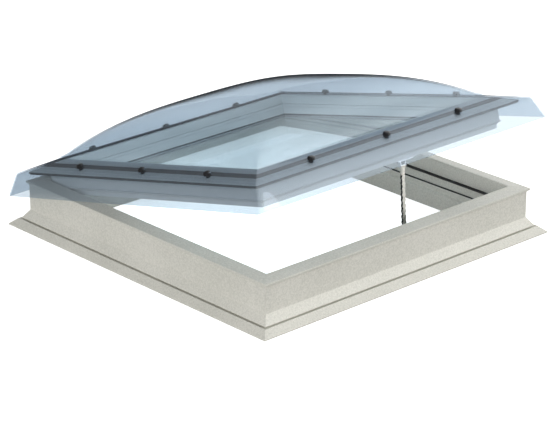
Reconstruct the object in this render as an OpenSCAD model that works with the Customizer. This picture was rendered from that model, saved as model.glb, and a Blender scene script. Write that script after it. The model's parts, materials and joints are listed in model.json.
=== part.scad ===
// Openable flat-roof dome window: a moulded upstand with a sloping foot, an inward hinged sash with
// sealed double glazing, a clear blown dome held by capped screws, and a push-chain drive.
// The origin is the middle of the upstand's underside. +Z is up and the hinges are on the +Y side.
// The sash is drawn open. Section points are [u, z]: u runs outward from the edge of the clear opening.

/* [Opening] */
// Clear width of the opening, along X
clear_w = 985; // [700:5:1400]
// Clear depth of the opening, along Y
clear_d = 985; // [700:5:1400]
// Angle that the sash stands open by, in degrees
open_angle = 13.5; // [4:0.5:16]

/* [Upstand] */
// Height of the upstand at its outer lip
upstand_h = 150; // [140:1:200]
// Thickness of the upstand, from clear opening to outer wall
upstand_t = 65.5; // [60:0.5:90]
// Skin thickness of the upstand's chambers
upstand_skin = 3.2; // [2.5:0.1:4]
// How far the foot reaches out past the wall
foot_reach = 51; // [40:1:80]
// Height at which the foot meets the wall
foot_h = 52; // [48:1:70]
// How far the lip stands out past the wall
lip_reach = 7.5; // [4:0.5:12]
// Depth of the rebate that the sash closes into
rebate = 23; // [21:0.5:26]

/* [Sash] */
// How far the sash's rim reaches out from the clear opening
rim_reach = 60.5; // [56:0.5:64]
// Skin thickness of the sash's chambers
sash_skin = 3; // [2.5:0.1:4]
// How far the sash stands in over the glass
sash_cover = 32.5; // [28:0.5:40]
// How far the shut sash's underside lies below the upstand's outer lip
sash_sink = 41.5; // [38:0.5:46]
// Height of the sash's frame, from its underside to its inner top edge
sash_h = 103; // [100:0.5:114]

/* [Glazing] */
// Thickness of the outer pane
outer_pane_t = 4; // [3:0.5:6]
// Thickness of the inner pane
inner_pane_t = 6; // [4:0.5:8]
// Gap between the panes
pane_gap = 14; // [12:0.5:16]

/* [Dome] */
// Thickness of the dome's sheet
dome_t = 4; // [3:0.5:5]
// Rise of the dome above its foot
dome_rise = 120; // [80:1:180]
// Depth of the dome's hanging skirt
skirt_drop = 67.5; // [50:0.5:80]
// How far the skirt flares out on its way down
skirt_flare = 26; // [10:1:30]
// Distance from the middle of a side to its outer knobs
knob_pitch = 310; // [200:5:330]

/* [Drive] */
// Distance of the chain from the middle of the front side
chain_x = 90; // [60:1:150]
// Pitch of the chain's links
chain_pitch = 18; // [14:1:20]
// Length of the drive's housing
housing_l = 380; // [340:5:440]

/* [Hinges] */
// Distance of each hinge from the middle of the back side
hinge_x = 300; // [200:5:320]
// Radius of a hinge's pin
hinge_pin_r = 1.8; // [1.5:0.05:2]

/* [Hidden] */

$fn = 48;
half = [clear_w / 2, clear_d / 2];
far = 4000;

white = [0.82, 0.82, 0.79];
black = [0.08, 0.08, 0.09];
steel = [0.72, 0.72, 0.72];
zinc = [0.6, 0.61, 0.63];
glass = [0.75, 0.85, 0.9, 0.4];
acrylic = [0.7, 0.8, 0.9, 0.35];

// Heights of the shut sash: underside, inner top edge, hinge line, rim and the seat of the glass.
sash_base = upstand_h - sash_sink;
sash_top = sash_base + sash_h;
hinge_z = sash_base + 31.5;
rim_z = sash_top - 28;
seat_z = sash_base + 38;

// ---- upstand section ----
lip_h = 6;
lip_u = upstand_t + lip_reach;
lip_rise = 6.5;
lip_bevel = 3;
foot_u = upstand_t + foot_reach;
foot_edge = 3;
groove_w = 9.5;
groove_depth = 4;
groove_u = foot_u - 0.46 * foot_reach;
groove_z = foot_edge + (foot_h - foot_edge) * 0.4;
groove_foot = 2;
// The rebate's two ledges, which carry the seals.
ledge_u = rebate - 7;
ledge_z = sash_base - 4;
ledge_edge = 3;
low_ledge_u = 11;
low_ledge_z = sash_base - 32.5;
low_step_u = 6;
low_step_z = low_ledge_z - 17;
low_bevel = 4;
seal_h = 3.5;
seal_play = 1;

// ---- sash section, in its shut place ----
hinge_y = half[1] + rebate - 5.5;
sash_wall_u = 13;
sash_foot_u = 5.5;
drip_u = sash_wall_u + 4.2;
drip_z = sash_base + 22;
drip_bevel = 9;
rim_notch = 4;
rim_notch_w = 10.5;
slope = 19.5 / 73;
slope_start_u = 20 - sash_cover;
slope_z = sash_top - 2;
rim_round = 2;
rim_groove_u = 45;
rim_groove_w = 4;
rim_groove_depth = 2;
wall_line_z = sash_top - 31;
wall_line_h = 1.5;
wall_line_depth = 1;
pocket_u = -12;

// ---- glazing, in its shut place ----
outer_seal_t = 3;
outer_pane_z = seat_z - outer_seal_t - outer_pane_t;
inner_pane_z = outer_pane_z - pane_gap - inner_pane_t;
inner_seal_t = 2.5;
pane_edge_u = pocket_u - 3;
sealant_w = 5;
spacer_w = 8;
bead_lip_u = -sash_cover - 1.5;

// ---- dome, in its shut place ----
dome_foot_u = -17.5;
dome_gap = 4.5;
fold_u = 93.5;
skirt_u = fold_u + skirt_flare;
knob_u = 32;
strip_u = 5;
strip_w = 20;
strip_t = 1.5;
tilt = atan(slope);
corner_r = 14;
fold_round = 4;
sleeve_r = 5;
sleeve_foot_r = 6.5;
sleeve_bore_r = 2.3;
knob_r = 12;
knob_h = 10.5;
screw_r = 2;
side_points = 14;

function sash_top_z(u) = slope_z - slope * (u - slope_start_u);
function flange_z(u) = sash_top_z(u) + dome_gap + dome_t;

// ---- drive ----
// Place of the chain's end pin when the sash is shut, which is also what the drive swivels about.
pin_y = -half[1] + 14.5;
pin_z = sash_base - 21;
reach = [pin_y - hinge_y, pin_z - hinge_z];
opened_pin = [
    hinge_y + reach[0] * cos(open_angle) + reach[1] * sin(open_angle),
    hinge_z - reach[0] * sin(open_angle) + reach[1] * cos(open_angle)
];
chain_l = norm(opened_pin - [pin_y, pin_z]);
chain_lean = atan2(opened_pin[0] - pin_y, opened_pin[1] - pin_z);
end_pin_r = 2.5;
end_play = 0.7;
end_w = 16;
end_t = 10;
end_drop = 16;
housing_top = -22;
housing_h = 42;
housing_front = -8;
housing_w = 38;
housing_skin = 2;
housing_right = 26;
cap_t = 6;
ear_t = 3;
ear_w = 14;
trunnion_r = 3;
trunnion_play = 0.05;
arm_gap = 0.5;
link_count = floor((chain_l - end_drop - housing_top) / chain_pitch);

// ---- shared shapes ----

// A frame round the opening with a mitred section given as children, which lie between u0 and u1.
module ring(u0, u1) {
    for (side = [0:3]) {
        turned = side % 2 == 1;
        across = turned ? half[1] : half[0];
        along = turned ? half[0] : half[1];
        rotate([0, 0, 90 * side]) run(across, along, u0, u1) children();
    }
}

// One mitred run of a section along Y, standing off the opening's edge on the +X side.
module run(across, along, u0, u1) {
    intersection() {
        translate([across, 0, 0]) rotate([90, 0, 0])
            linear_extrude(2 * (along + u1) + 2, center = true) children();
        translate([0, 0, -far / 2]) linear_extrude(far) polygon([
            [across + u0, -along - u0], [across + u1, -along - u1],
            [across + u1, along + u1], [across + u0, along + u0]
        ]);
    }
}

// A section rectangle from [u0, z0] to [u1, z1].
module area(u0, u1, z0, z1) {
    translate([u0, z0]) square([u1 - u0, z1 - z0]);
}

// Turns what is drawn shut about the hinge line to the open place.
module opened() {
    translate([0, hinge_y, hinge_z]) rotate([-open_angle, 0, 0]) translate([0, -hinge_y, -hinge_z])
        children();
}

// Puts children on the chain's line: their origin at the swivel and their +Z along the chain.
module on_chain() {
    translate([chain_x, pin_y, pin_z]) rotate([-chain_lean, 0, 0]) children();
}

// A box from one corner to the other.
module block(low, high) {
    translate(low) cube(high - low);
}

// A screw whose head stands on the XY plane and whose shank points down, with a cross recess.
module screw(head_r, head_h, shank_r, shank_l) {
    recess = head_r * 1.1;
    difference() {
        union() {
            cylinder(r = head_r, h = head_h);
            translate([0, 0, -shank_l]) cylinder(r = shank_r, h = shank_l + head_h / 2);
        }
        for (a = [0, 90]) rotate([0, 0, a])
            translate([-recess / 2, -head_r / 8, head_h * 0.45]) cube([recess, head_r / 4, head_h]);
    }
}

// ---- upstand ----

module upstand_section() {
    top_u = rebate;
    polygon([
        [0, 0], [foot_u, 0], [foot_u, foot_edge],
        [groove_u, groove_z], [groove_u - groove_w + groove_foot, groove_z - groove_depth],
        [groove_u - groove_w, groove_z + groove_depth + 1],
        [upstand_t, foot_h], [upstand_t, upstand_h - 2 * lip_h],
        [lip_u, upstand_h - lip_h], [lip_u, upstand_h],
        [top_u + lip_bevel, upstand_h + lip_rise], [top_u, upstand_h + lip_rise - lip_bevel],
        [top_u, ledge_z], [ledge_u, ledge_z], [ledge_u, ledge_z - ledge_edge],
        [low_ledge_u, low_ledge_z], [low_step_u, low_ledge_z],
        [low_step_u, low_step_z], [0, low_step_z - low_bevel]
    ]);
}

module upstand_chambers() {
    s = upstand_skin;
    mid = upstand_t * 0.6;
    low_top = low_step_z - low_bevel - s;
    area(s, mid - s / 2, s, low_top);
    area(mid + s / 2, upstand_t - s, s, low_top);
    area(low_ledge_u + s, mid - s / 2, low_top + s, low_ledge_z - s);
    area(ledge_u + s, mid - s / 2, low_ledge_z, ledge_z - s);
    area(mid + s / 2, upstand_t - s, low_top + s, ledge_z - s);
    area(rebate + s, upstand_t - s, ledge_z, upstand_h - s);
    // The hollow under the sloping foot.
    polygon([
        [upstand_t, s], [groove_u + groove_foot, s], [groove_u - groove_w - s, groove_z - groove_depth],
        [groove_u - groove_w - s, groove_z], [upstand_t, foot_h - 2 * s]
    ]);
}

module upstand() {
    color(white) ring(0, foot_u) difference() {
        upstand_section();
        upstand_chambers();
    }
}

// A strip on the upper ledge with a lip that wipes the foot of the shut sash.
module upper_seal() {
    tip_u = sash_foot_u + seal_play;
    color(black) ring(tip_u, rebate) polygon([
        [ledge_u, ledge_z], [rebate, ledge_z], [rebate, ledge_z + seal_h],
        [tip_u, ledge_z + seal_h], [tip_u, ledge_z + seal_h / 2]
    ]);
}

// A strip with a rounded back on the lower ledge.
module lower_seal() {
    color(black) ring(low_step_u, low_ledge_u) polygon([
        [low_step_u, low_ledge_z], [low_ledge_u, low_ledge_z], [low_ledge_u, low_ledge_z + seal_h - 1],
        [low_ledge_u - 1, low_ledge_z + seal_h], [low_step_u + 1, low_ledge_z + seal_h],
        [low_step_u, low_ledge_z + seal_h - 1]
    ]);
}

// ---- hinges ----
knuckle_l = 20;
knuckle_r = 3.6;
knuckle_gap = 0.5;
leaf_w = 3 * knuckle_l + 2 * knuckle_gap;
leaf_t = 2;
leaf_offset = 6;
leaf_h = 17;
leaf_screw_x = 20;

// Puts children at a hinge, drawn with the pin along X through the origin.
module at_hinge(side) {
    translate([side * hinge_x, hinge_y, hinge_z]) children();
}

// A leaf that lies against a wall at y = wall, on one side of the pin, with knuckles from the list.
module leaf(wall, up, knuckles) {
    inward = -sign(wall);
    low = up > 0 ? leaf_offset : -leaf_offset - leaf_h;
    y0 = min(wall, wall + inward * leaf_t);
    web_y = min(wall, sign(wall) * 1);
    difference() {
        union() {
            block([-leaf_w / 2, y0, low], [leaf_w / 2, y0 + leaf_t, low + leaf_h]);
            for (x = knuckles) {
                translate([x, 0, 0]) rotate([0, 90, 0])
                    cylinder(r = knuckle_r, h = knuckle_l, center = true);
                block([x - knuckle_l / 2, web_y, min(0, up * (leaf_offset + 1))],
                      [x + knuckle_l / 2, web_y + abs(wall) - 1, max(0, up * (leaf_offset + 1))]);
            }
        }
        rotate([0, 90, 0]) cylinder(r = hinge_pin_r + 0.05, h = leaf_w + 2, center = true);
        for (x = [-leaf_screw_x, leaf_screw_x])
            translate([x, y0 + leaf_t / 2, low + leaf_h / 2]) rotate([90, 0, 0])
                cylinder(r = screw_r + 0.2, h = 2 * leaf_t, center = true);
    }
}

fixed_wall = half[1] + rebate - hinge_y;
moving_wall = half[1] + sash_wall_u - hinge_y;

module fixed_leaf(side) {
    step = knuckle_l + knuckle_gap;
    color(zinc) at_hinge(side) leaf(fixed_wall, -1, [-step, step]);
}

module moving_leaf(side) {
    color(zinc) opened() at_hinge(side) leaf(moving_wall, 1, [0]);
}

module hinge_pin(side) {
    head_h = 1.5;
    color(steel) at_hinge(side) rotate([0, 90, 0]) union() {
        cylinder(r = hinge_pin_r, h = leaf_w, center = true);
        translate([0, 0, leaf_w / 2]) cylinder(r = hinge_pin_r + 1, h = head_h);
    }
}

module leaf_screws(wall, up) {
    for (side = [-1, 1]) at_hinge(side) for (x = [-leaf_screw_x, leaf_screw_x])
        translate([x, wall - sign(wall) * leaf_t, up * (leaf_offset + leaf_h / 2)])
            rotate([sign(wall) * 90, 0, 0]) screw(3.6, 1.5, screw_r, 14);
}

module fixed_leaf_screws() {
    color(steel) leaf_screws(fixed_wall, -1);
}

module moving_leaf_screws() {
    color(steel) opened() leaf_screws(moving_wall, 1);
}

// ---- sash ----

module sash_section() {
    polygon([
        [pocket_u, sash_base], [sash_foot_u, sash_base], [sash_foot_u, drip_z - drip_bevel],
        [drip_u, drip_z], [sash_wall_u, drip_z + 2.5], [sash_wall_u, rim_z],
        [rim_reach - rim_notch_w, rim_z], [rim_reach - rim_notch_w, rim_z + rim_notch],
        [rim_reach, rim_z + rim_notch], [rim_reach, sash_top_z(rim_reach) - rim_round],
        [rim_reach - rim_round, sash_top_z(rim_reach)],
        [rim_groove_u + rim_groove_w, sash_top_z(rim_groove_u + rim_groove_w)],
        [rim_groove_u + rim_groove_w - 1, sash_top_z(rim_groove_u) - rim_groove_depth],
        [rim_groove_u, sash_top_z(rim_groove_u) - rim_groove_depth],
        [rim_groove_u, sash_top_z(rim_groove_u)],
        [slope_start_u, slope_z], [-sash_cover, sash_top],
        [-sash_cover, wall_line_z + wall_line_h], [wall_line_depth - sash_cover, wall_line_z + wall_line_h],
        [wall_line_depth - sash_cover, wall_line_z], [-sash_cover, wall_line_z],
        [-sash_cover, seat_z], [pocket_u, seat_z]
    ]);
}

module sash_chambers() {
    s = sash_skin;
    in_u = pocket_u + s;
    out_u = sash_wall_u - s;
    roof = 1.2 * s;
    area(in_u, sash_foot_u - s, sash_base + s, seat_z - 1);
    polygon([
        [s - sash_cover, seat_z + s], [out_u, seat_z + s], [out_u, sash_top_z(out_u) - roof],
        [slope_start_u, slope_z - roof], [s - sash_cover, sash_top - roof]
    ]);
    polygon([
        [sash_wall_u, rim_z + s], [rim_groove_u - s, rim_z + s],
        [rim_groove_u - s, sash_top_z(rim_groove_u - s) - roof], [sash_wall_u, sash_top_z(sash_wall_u) - roof]
    ]);
}

module sash_frame() {
    color(white) opened() ring(-sash_cover, rim_reach) difference() {
        sash_section();
        sash_chambers();
    }
}

module rim_seal() {
    u0 = rim_reach - rim_notch_w;
    z1 = rim_z + rim_notch;
    color(black) opened() ring(u0, rim_reach) polygon([
        [u0, z1], [u0, rim_z], [rim_reach - 5, rim_z], [rim_reach - 4, rim_z - 4],
        [rim_reach - 2, rim_z - 4], [rim_reach, rim_z], [rim_reach, z1]
    ]);
}

// ---- glazing ----

module pane(z, t) {
    w = clear_w + 2 * pane_edge_u;
    d = clear_d + 2 * pane_edge_u;
    color(glass) opened() translate([-w / 2, -d / 2, z]) cube([w, d, t]);
}

module glazing_ring(u0, u1, z0, z1) {
    opened() ring(u0, u1) area(u0, u1, z0, z1);
}

module outer_pane() {
    pane(outer_pane_z, outer_pane_t);
}

module inner_pane() {
    pane(inner_pane_z, inner_pane_t);
}

module outer_glazing_seal() {
    color(black) glazing_ring(-sash_cover, pocket_u - 1, outer_pane_z + outer_pane_t, seat_z);
}

module inner_glazing_seal() {
    color(black)
        glazing_ring(bead_lip_u, pocket_u - 3, inner_pane_z - inner_seal_t, inner_pane_z);
}

module edge_sealant() {
    color(black) glazing_ring(pane_edge_u - sealant_w, pane_edge_u, inner_pane_z + inner_pane_t,
                              outer_pane_z);
}

module spacer_bar() {
    u1 = pane_edge_u - sealant_w;
    u0 = u1 - spacer_w;
    z0 = inner_pane_z + inner_pane_t;
    skin = 0.5;
    color(steel) opened() ring(u0, u1) difference() {
        area(u0, u1, z0, outer_pane_z);
        area(u0 + skin, u1 - skin, z0 + skin, outer_pane_z - skin);
    }
}

// A bead closes the pocket under the glass. Front and back beads run through, side beads butt to them.
module bead_section() {
    s = sash_skin / 2;
    top = inner_pane_z - inner_seal_t;
    difference() {
        polygon([
            [pocket_u, sash_base], [pocket_u, top], [bead_lip_u, top],
            [bead_lip_u, sash_base + 4], [bead_lip_u + 4, sash_base]
        ]);
        area(bead_lip_u + 4, pocket_u - s, sash_base + s, top - s);
    }
}

module bead(turn, across, along, trim) {
    color(white) opened() rotate([0, 0, turn]) translate([across, 0, 0]) rotate([90, 0, 0])
        linear_extrude(2 * (along - trim), center = true) bead_section();
}

// ---- dome ----

// Spaces the points along a side closer together towards its corners.
function side_step(j) = let (t = 2 * j / side_points - 1) sign(t) * (1 - pow(1 - abs(t), 1.5));

// A point of a side of a rounded rectangle with half sizes a and b: the +X side, at step t.
function rounded(a, b, r, t) =
    abs(t) * b <= b - r ? [a, b * t] :
    let (turn = 45 * (abs(t) * b - b + r) / r) [a - r + r * cos(turn), sign(t) * (b - r + r * sin(turn))];

// All points of a rounded rectangle, side by side, anticlockwise.
function outline(a, b, r) = [
    for (side = [0:3], j = [0:side_points - 1])
        let (
            odd = side % 2 == 1,
            p = rounded(odd ? b : a, odd ? a : b, r, side_step(j)),
            c = [1, 0, -1, 0][side],
            s = [0, 1, 0, -1][side]
        )
        [c * p[0] - s * p[1], s * p[0] + c * p[1]]
];

// Height of the blown part over a point, as a share of the rise.
function crown(x, y, a, b) =
    sqrt(max(0, 1 - pow(abs(x) / a, 3)) * max(0, 1 - pow(abs(y) / b, 3)));

crown_rings = [1, 0.992, 0.97, 0.93, 0.86, 0.76, 0.62, 0.46, 0.3, 0.14];

// The rings of the flange and skirt as [u, z, corner radius], for a face set in by inset and down by drop.
function rim_rings(inset, drop) = [
    [skirt_u - inset, flange_z(fold_u) - skirt_drop, corner_r],
    [fold_u - inset, flange_z(fold_u - inset) - drop - fold_round / 2, corner_r],
    [fold_u - inset - fold_round, flange_z(fold_u - inset - fold_round) - drop, corner_r - fold_round],
    [knob_u, flange_z(knob_u) - drop, 2]
];

// The rings of one face of the sheet, from the skirt's edge in to the crown.
function sheet_rings(inset, drop) =
    let (
        a = half[0] + dome_foot_u - inset,
        b = half[1] + dome_foot_u - inset,
        foot_z = flange_z(dome_foot_u - inset) - drop
    )
    concat(
        [for (p = rim_rings(inset, drop))
            [for (q = outline(half[0] + p[0], half[1] + p[0], p[2])) [q[0], q[1], p[1]]]],
        [for (s = crown_rings)
            [for (q = outline(a * s, b * s, s))
                [q[0], q[1], foot_z + dome_rise * crown(q[0], q[1], a, b)]]]
    );

module dome_sheet() {
    outer = sheet_rings(0, 0);
    inner = sheet_rings(dome_t, dome_t);
    count = 4 * side_points;
    rings = len(outer);
    all = concat(outer, [for (k = [rings - 1:-1:0]) inner[k]]);
    tops = [for (inset = [0, dome_t]) [0, 0, flange_z(dome_foot_u - inset) - inset + dome_rise]];
    points = concat([for (ring = all) for (p = ring) p], tops);
    crown_at = len(points) - 2;
    last = 2 * rings - 1;
    faces = concat(
        // Both faces, without the gap between them at the crown, where each closes on its own top point.
        [for (k = [0:last]) if (k != rings - 1) for (j = [0:count - 1], half_quad = [0, 1])
            let (
                n = (j + 1) % count,
                k2 = (k + 1) % (2 * rings),
                a = k * count + j, b = k * count + n,
                c = k2 * count + n, d = k2 * count + j
            )
            half_quad == 0 ? [a, c, b] : [a, d, c]],
        [for (j = [0:count - 1]) [(rings - 1) * count + j, crown_at, (rings - 1) * count + (j + 1) % count]],
        [for (j = [0:count - 1]) [rings * count + (j + 1) % count, crown_at + 1, rings * count + j]]
    );
    polyhedron(points, faces);
}

// Puts children on the sloping top of the sash at each fixing, with +Z square to the slope.
module at_knobs() {
    for (side = [0:3]) {
        turned = side % 2 == 1;
        across = turned ? half[1] : half[0];
        along = turned ? half[0] / half[1] : 1;
        rotate([0, 0, 90 * side]) for (y = [-knob_pitch, 0, knob_pitch])
            translate([across + knob_u, y * along, sash_top_z(knob_u)]) rotate([0, tilt, 0]) children();
    }
}

module dome() {
    color(acrylic) opened() difference() {
        dome_sheet();
        at_knobs() cylinder(r = sleeve_r + 0.5, h = 3 * (dome_gap + dome_t), center = true);
    }
}

module dome_seal() {
    color(black) opened() ring(strip_u, strip_u + strip_w) polygon([
        for (u = [strip_u, strip_u + strip_w]) [u, sash_top_z(u)],
        for (u = [strip_u + strip_w, strip_u]) [u, sash_top_z(u) + strip_t]
    ]);
}

sleeve_h = (dome_gap + dome_t) * cos(tilt) + 0.8;
sleeve_foot_h = dome_gap * cos(tilt) - 0.1;

module knob_sleeves() {
    color(black) opened() at_knobs() difference() {
        union() {
            cylinder(r = sleeve_r, h = sleeve_h);
            cylinder(r = sleeve_foot_r, h = sleeve_foot_h);
        }
        translate([0, 0, -1]) cylinder(r = sleeve_bore_r, h = sleeve_h + 2);
    }
}

module knob_screws() {
    color(steel) opened() at_knobs() translate([0, 0, sleeve_h]) screw(4.2, 2.6, screw_r, sleeve_h + 16);
}

module knob_cap() {
    rotate_extrude() difference() {
        polygon([
            [0, 0], [knob_r, 0], [knob_r, knob_h * 0.35], [knob_r * 0.93, knob_h * 0.65],
            [knob_r * 0.76, knob_h * 0.87], [knob_r * 0.5, knob_h], [0, knob_h]
        ]);
        square([4.5, 4]);
    }
}

module knob_caps() {
    color(black) opened() at_knobs() translate([0, 0, sleeve_h]) knob_cap();
}

// ---- chain bracket on the sash ----
bracket_t = 3;
fork_gap = end_w + 1.2;
bracket_w = fork_gap + 2 * bracket_t;
wing = 22;
bracket_y0 = -half[1] - sash_foot_u + 1;

module chain_bracket() {
    ear_r = 6;
    color(zinc) opened() translate([chain_x, 0, 0]) difference() {
        union() {
            block([-bracket_w / 2 - wing, bracket_y0, sash_base - bracket_t],
                  [bracket_w / 2 + wing, -half[1] - pocket_u - 1, sash_base]);
            for (side = [-1, 1]) translate([side * (fork_gap + bracket_t) / 2, 0, 0]) {
                block([-bracket_t / 2, pin_y - ear_r, pin_z],
                      [bracket_t / 2, pin_y + ear_r, sash_base - 0.5]);
                translate([0, pin_y, pin_z]) rotate([0, 90, 0])
                    cylinder(r = ear_r, h = bracket_t, center = true);
            }
        }
        translate([0, pin_y, pin_z]) rotate([0, 90, 0])
            cylinder(r = end_pin_r + 0.05, h = bracket_w + 2, center = true);
        for (side = [-1, 1]) translate([side * (bracket_w + wing) / 2, bracket_y0 + 8, sash_base])
            cylinder(r = screw_r + 0.2, h = 3 * bracket_t, center = true);
    }
}

module chain_bracket_pin() {
    color(steel) opened() translate([chain_x, pin_y, pin_z]) rotate([0, 90, 0]) union() {
        cylinder(r = end_pin_r, h = bracket_w + 2, center = true);
        for (side = [-1, 1]) translate([0, 0, side * (bracket_w / 2 + 1.2)])
            cylinder(r = end_pin_r + 1.2, h = 1.6, center = true);
    }
}

module chain_bracket_screws() {
    color(steel) opened() for (side = [-1, 1])
        translate([chain_x + side * (bracket_w + wing) / 2, bracket_y0 + 8, sash_base - bracket_t])
            rotate([180, 0, 0]) screw(3.8, 2, screw_r, 13);
}

// ---- drive ----
housing_left = housing_right - housing_l;
exit_w = end_w + 6;
exit_t = end_t + 4;

module drive_housing() {
    s = housing_skin;
    low = [housing_left, housing_front, housing_top - housing_h];
    high = [housing_right, housing_front + housing_w, housing_top];
    color([0.85, 0.85, 0.84]) on_chain() difference() {
        block(low, high);
        block(low + [-1, s, s], high + [1, -s, -s]);
        block([-exit_w / 2, -exit_t / 2, housing_top - 2 * s], [exit_w / 2, exit_t / 2, housing_top + s]);
    }
}

// Side view of an end cap: the housing's end and an ear that rises to the swivel.
module end_cap(x0, x1, ear_x0) {
    s = housing_skin;
    plug = 5;
    inner = x0 > 0 ? x0 - plug : x1;
    color(black) on_chain() difference() {
        union() {
            block([x0, housing_front, housing_top - housing_h],
                  [x1, housing_front + housing_w, housing_top]);
            block([inner, housing_front + s, housing_top - housing_h + s],
                  [inner + plug, housing_front + housing_w - s, housing_top - s]);
            block([ear_x0, -ear_w / 2, housing_top - 1], [ear_x0 + ear_t, ear_w / 2, 0]);
            translate([ear_x0, 0, 0]) rotate([0, 90, 0]) cylinder(r = ear_w / 2, h = ear_t);
        }
        translate([ear_x0 - 1, 0, 0]) rotate([0, 90, 0])
            cylinder(r = trunnion_r + trunnion_play, h = ear_t + 2);
    }
}

module drive_end_cap_left() {
    end_cap(housing_left - cap_t, housing_left, housing_left - cap_t);
}

module drive_end_cap_right() {
    end_cap(housing_right, housing_right + cap_t, housing_right + cap_t - ear_t);
}

module drive_end_cap_screws() {
    y = housing_front + housing_w - 10;
    z = housing_top - housing_h + 10;
    color(steel) on_chain() {
        translate([housing_left - cap_t, y, z]) rotate([0, -90, 0]) screw(3, 1.5, 1.5, 10);
        translate([housing_right + cap_t, y, z]) rotate([0, 90, 0]) screw(3, 1.5, 1.5, 10);
    }
}

gearbox_l = 60;
gearbox_right = -32;
motor_r = 15;
motor_l = 150;
drive_mid = [0, housing_front + housing_w / 2, housing_top - housing_h / 2];

module drive_gearbox() {
    inset = housing_skin + 1;
    color([0.3, 0.3, 0.32]) on_chain() difference() {
        block([gearbox_right - gearbox_l, housing_front + inset, housing_top - housing_h + inset],
              [gearbox_right, housing_front + housing_w - inset, housing_top - inset]);
        translate([gearbox_right - gearbox_l - 1, drive_mid[1], drive_mid[2]]) rotate([0, 90, 0])
            cylinder(r = 6, h = 12);
    }
}

module drive_motor() {
    boss = 5.8;
    color(zinc) on_chain() translate([gearbox_right - gearbox_l, drive_mid[1], drive_mid[2]])
        rotate([0, -90, 0]) union() {
            cylinder(r = motor_r, h = motor_l);
            translate([0, 0, -8]) cylinder(r = boss, h = 9);
        }
}

// The mouth that the chain leaves by: a flanged slot in the top of the housing.
module chain_guide() {
    play = 0.6;
    color(black) on_chain() difference() {
        union() {
            block([-exit_w / 2, -exit_t / 2, housing_top - 2 * housing_skin],
                  [exit_w / 2, exit_t / 2, housing_top]);
            block([-exit_w / 2 - 4, housing_front + 0.5, housing_top],
                  [exit_w / 2 + 4, exit_t / 2 + 4, housing_top + 2]);
        }
        block([-end_w / 2 - play, -end_t / 2 - play, housing_top - 9],
              [end_w / 2 + play, end_t / 2 + play, housing_top + 3]);
    }
}

bracket_low = 18;
bracket_high = 50;
bracket_foot = 26;
bracket_foot_t = 1.5;
arm_t = 3;
bracket_screws_z = [bracket_low + 7, bracket_high - 7];

// Middle of the two screws of a drive bracket, from the outer face of its ear.
function bracket_screw_x(ear_x, out) = ear_x + out * (arm_gap + bracket_foot / 2 + arm_t);

// Bracket on the upstand's lower wall with the stub that the drive swivels on.
module drive_bracket(ear_x, out) {
    wall_y = -half[1];
    tip = [pin_y, pin_z + 2 * trunnion_r];
    arm_x = ear_x + (out > 0 ? arm_gap : -arm_gap - arm_t);
    foot_x = out > 0 ? arm_x : arm_x + arm_t - bracket_foot;
    color(zinc) difference() {
        union() {
            translate([chain_x + arm_x, 0, 0]) rotate([90, 0, 90]) linear_extrude(arm_t) polygon([
                [wall_y, bracket_low], [wall_y, bracket_high], [pin_y - 7, pin_z],
                tip - [4, 0], tip + [4, 0], [pin_y + 7, pin_z], [wall_y + 8, bracket_low + 4]
            ]);
            block([chain_x + foot_x, wall_y, bracket_low],
                  [chain_x + foot_x + bracket_foot, wall_y + bracket_foot_t, bracket_high]);
            translate([chain_x + arm_x + (out > 0 ? -arm_gap - ear_t : 0), pin_y, pin_z])
                rotate([0, 90, 0]) cylinder(r = trunnion_r, h = arm_t + arm_gap + ear_t);
        }
        for (z = bracket_screws_z) translate([chain_x + bracket_screw_x(ear_x, out), wall_y, z])
            rotate([90, 0, 0]) cylinder(r = screw_r + 0.2, h = 10, center = true);
    }
}

left_ear_x = housing_left - cap_t;
right_ear_x = housing_right + cap_t;

module drive_bracket_left() {
    drive_bracket(left_ear_x, -1);
}

module drive_bracket_right() {
    drive_bracket(right_ear_x, 1);
}

module drive_bracket_screws() {
    color(steel) for (end = [[left_ear_x, -1], [right_ear_x, 1]], z = bracket_screws_z)
        translate([chain_x + bracket_screw_x(end[0], end[1]), bracket_foot_t - half[1], z])
            rotate([-90, 0, 0]) screw(3.8, 1.8, screw_r, 12);
}

// ---- chain ----
plate_gap = 1.9;
inner_plate_t = 1.4;
outer_plate_t = 1.5;
plate_w = 15;
waist_w = 10;
link_pin_r = 2.2;
chain_top = chain_l - end_drop;
first_pin_drop = 4.5;

// Height of a pin of the chain, counted down from the end piece.
function link_z(i) = chain_top - first_pin_drop - chain_pitch * i;

// A plate that joins the pins at z0 and z0 + chain_pitch: round ends and a narrower waist.
module plate(z0, y0, t) {
    end_r = plate_w / 2;
    rotate([90, 0, 0]) translate([0, z0, -y0 - t]) difference() {
        linear_extrude(t) union() {
            for (z = [0, chain_pitch]) translate([0, z]) circle(end_r - 0.6);
            translate([-waist_w / 2, 0]) square([waist_w, chain_pitch]);
        }
        for (z = [0, chain_pitch]) translate([0, z, -1]) cylinder(r = link_pin_r + 0.02, h = t + 2);
    }
}

module plates(first, y, t) {
    on_chain() for (i = [first:2:link_count - 1], side = [0, 1])
        plate(link_z(i + 1), side == 0 ? y : -y - t, t);
}

module chain_outer_plates() {
    color(steel) plates(0, plate_gap + inner_plate_t + 0.1, outer_plate_t);
}

module chain_inner_plates() {
    color(steel) plates(1, plate_gap, inner_plate_t);
}

module chain_pins() {
    pin_l = 2 * (plate_gap + inner_plate_t + outer_plate_t + 0.1);
    color(black) on_chain() for (i = [0:link_count]) translate([0, 0, link_z(i)]) rotate([90, 0, 0])
        union() {
            cylinder(r = link_pin_r, h = pin_l, center = true);
            if (i > 0) cylinder(r = plate_w / 2 - 2, h = 2 * plate_gap - 0.2, center = true);
        }
}

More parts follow.
